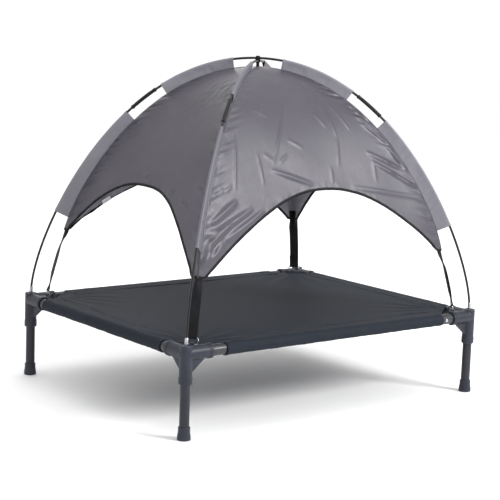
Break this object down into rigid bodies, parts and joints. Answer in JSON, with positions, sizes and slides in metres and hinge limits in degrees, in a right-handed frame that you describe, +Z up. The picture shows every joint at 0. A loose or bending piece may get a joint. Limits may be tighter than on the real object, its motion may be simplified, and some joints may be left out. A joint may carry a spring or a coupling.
{
  "type": "raised dog bed with canopy",
  "caption": "Raised pet cot: a tube frame on four legs with a stretched fabric bed, under a dome canopy on two crossed bent poles.",
  "frame": {"origin": "on the floor below the middle of the bed", "axes": "+Z up, X along the long rails, Y along the short rails; -Y is the front long side"},
  "size_m": [0.7644, 0.6144, 0.7003],
  "materials": {
    "slate_plastic": "moulded nylon, fine texture",
    "slate_paint": "powder-coated tube",
    "bed_mesh": "coated mesh weave",
    "canopy_cloth": "satin polyester",
    "sleeve_cloth": "satin polyester, doubled",
    "black_webbing": "elastic webbing and binding tape",
    "white_tag": "blank woven tag",
    "fibreglass": "smooth fibreglass tube",
    "dark_ferrule": "blackened steel tube",
    "bright_tip": "turned",
    "bright_wire": "plated",
    "elastic_cord": "braided elastic"
  },
  "bodies": {
    "bed": {"corner_connector_front_left": "slate_plastic", "leg_front_left": "slate_paint", "foot_cap_front_left": "slate_plastic", "strap_ring_front_left": "bright_wire", "corner_strap_front_left": "black_webbing", "corner_connector_front_right": "slate_plastic", "leg_front_right": "slate_paint", "foot_cap_front_right": "slate_plastic", "strap_ring_front_right": "bright_wire", "corner_strap_front_right": "black_webbing", "corner_connector_back_left": "slate_plastic", "leg_back_left": "slate_paint", "foot_cap_back_left": "slate_plastic", "strap_ring_back_left": "bright_wire", "corner_strap_back_left": "black_webbing", "corner_connector_back_right": "slate_plastic", "leg_back_right": "slate_paint", "foot_cap_back_right": "slate_plastic", "strap_ring_back_right": "bright_wire", "corner_strap_back_right": "black_webbing", "long_rail_front": "slate_paint", "long_rail_back": "slate_paint", "short_rail_left": "slate_paint", "short_rail_right": "slate_paint", "bed_fabric": "bed_mesh"},
    "canopy": {"pole_sleeve_upper_front_left": "sleeve_cloth", "pole_sleeve_lower_front_left": "sleeve_cloth", "ferrule_front_left": "dark_ferrule", "pole_tip_front_left": "bright_tip", "pole_sleeve_upper_front_right": "sleeve_cloth", "pole_sleeve_lower_front_right": "sleeve_cloth", "ferrule_front_right": "dark_ferrule", "pole_tip_front_right": "bright_tip", "pole_sleeve_upper_back_left": "sleeve_cloth", "pole_sleeve_lower_back_left": "sleeve_cloth", "ferrule_back_left": "dark_ferrule", "pole_tip_back_left": "bright_tip", "pole_sleeve_upper_back_right": "sleeve_cloth", "pole_sleeve_lower_back_right": "sleeve_cloth", "ferrule_back_right": "dark_ferrule", "pole_tip_back_right": "bright_tip", "pole_a_left": "fibreglass", "pole_a_middle": "fibreglass", "pole_a_right": "fibreglass", "shock_cord_a": "elastic_cord", "pole_b_left": "fibreglass", "pole_b_middle": "fibreglass", "pole_b_right": "fibreglass", "shock_cord_b": "elastic_cord", "edge_binding_front": "black_webbing", "edge_binding_back": "black_webbing", "edge_binding_left": "black_webbing", "edge_binding_right": "black_webbing", "canopy_cover": "canopy_cloth", "care_label": "white_tag", "apex_tie": "black_webbing"},
    "snap_button_front": {"snap_button_front": "bright_wire"},
    "snap_button_back": {"snap_button_back": "bright_wire"}
  },
  "joints": [
    {"name": "canopy_lift", "type": "slide", "parent": "bed", "child": "canopy", "axis": [0, 0, 1], "range_m": [0, 0.022], "stiffness_N_per_m": 250, "springref_m": -0.01, "deforming": ["corner_strap_front_left", "corner_strap_front_right", "corner_strap_back_left", "corner_strap_back_right"]},
    {"name": "snap_button_front_press", "type": "slide", "parent": "bed", "child": "snap_button_front", "axis": [0, 1, 0], "range_m": [0, 0.003], "stiffness_N_per_m": 500, "springref_m": -0.002},
    {"name": "snap_button_back_press", "type": "slide", "parent": "bed", "child": "snap_button_back", "axis": [0, -1, 0], "range_m": [0, 0.003], "stiffness_N_per_m": 500, "springref_m": -0.002}
  ]
}
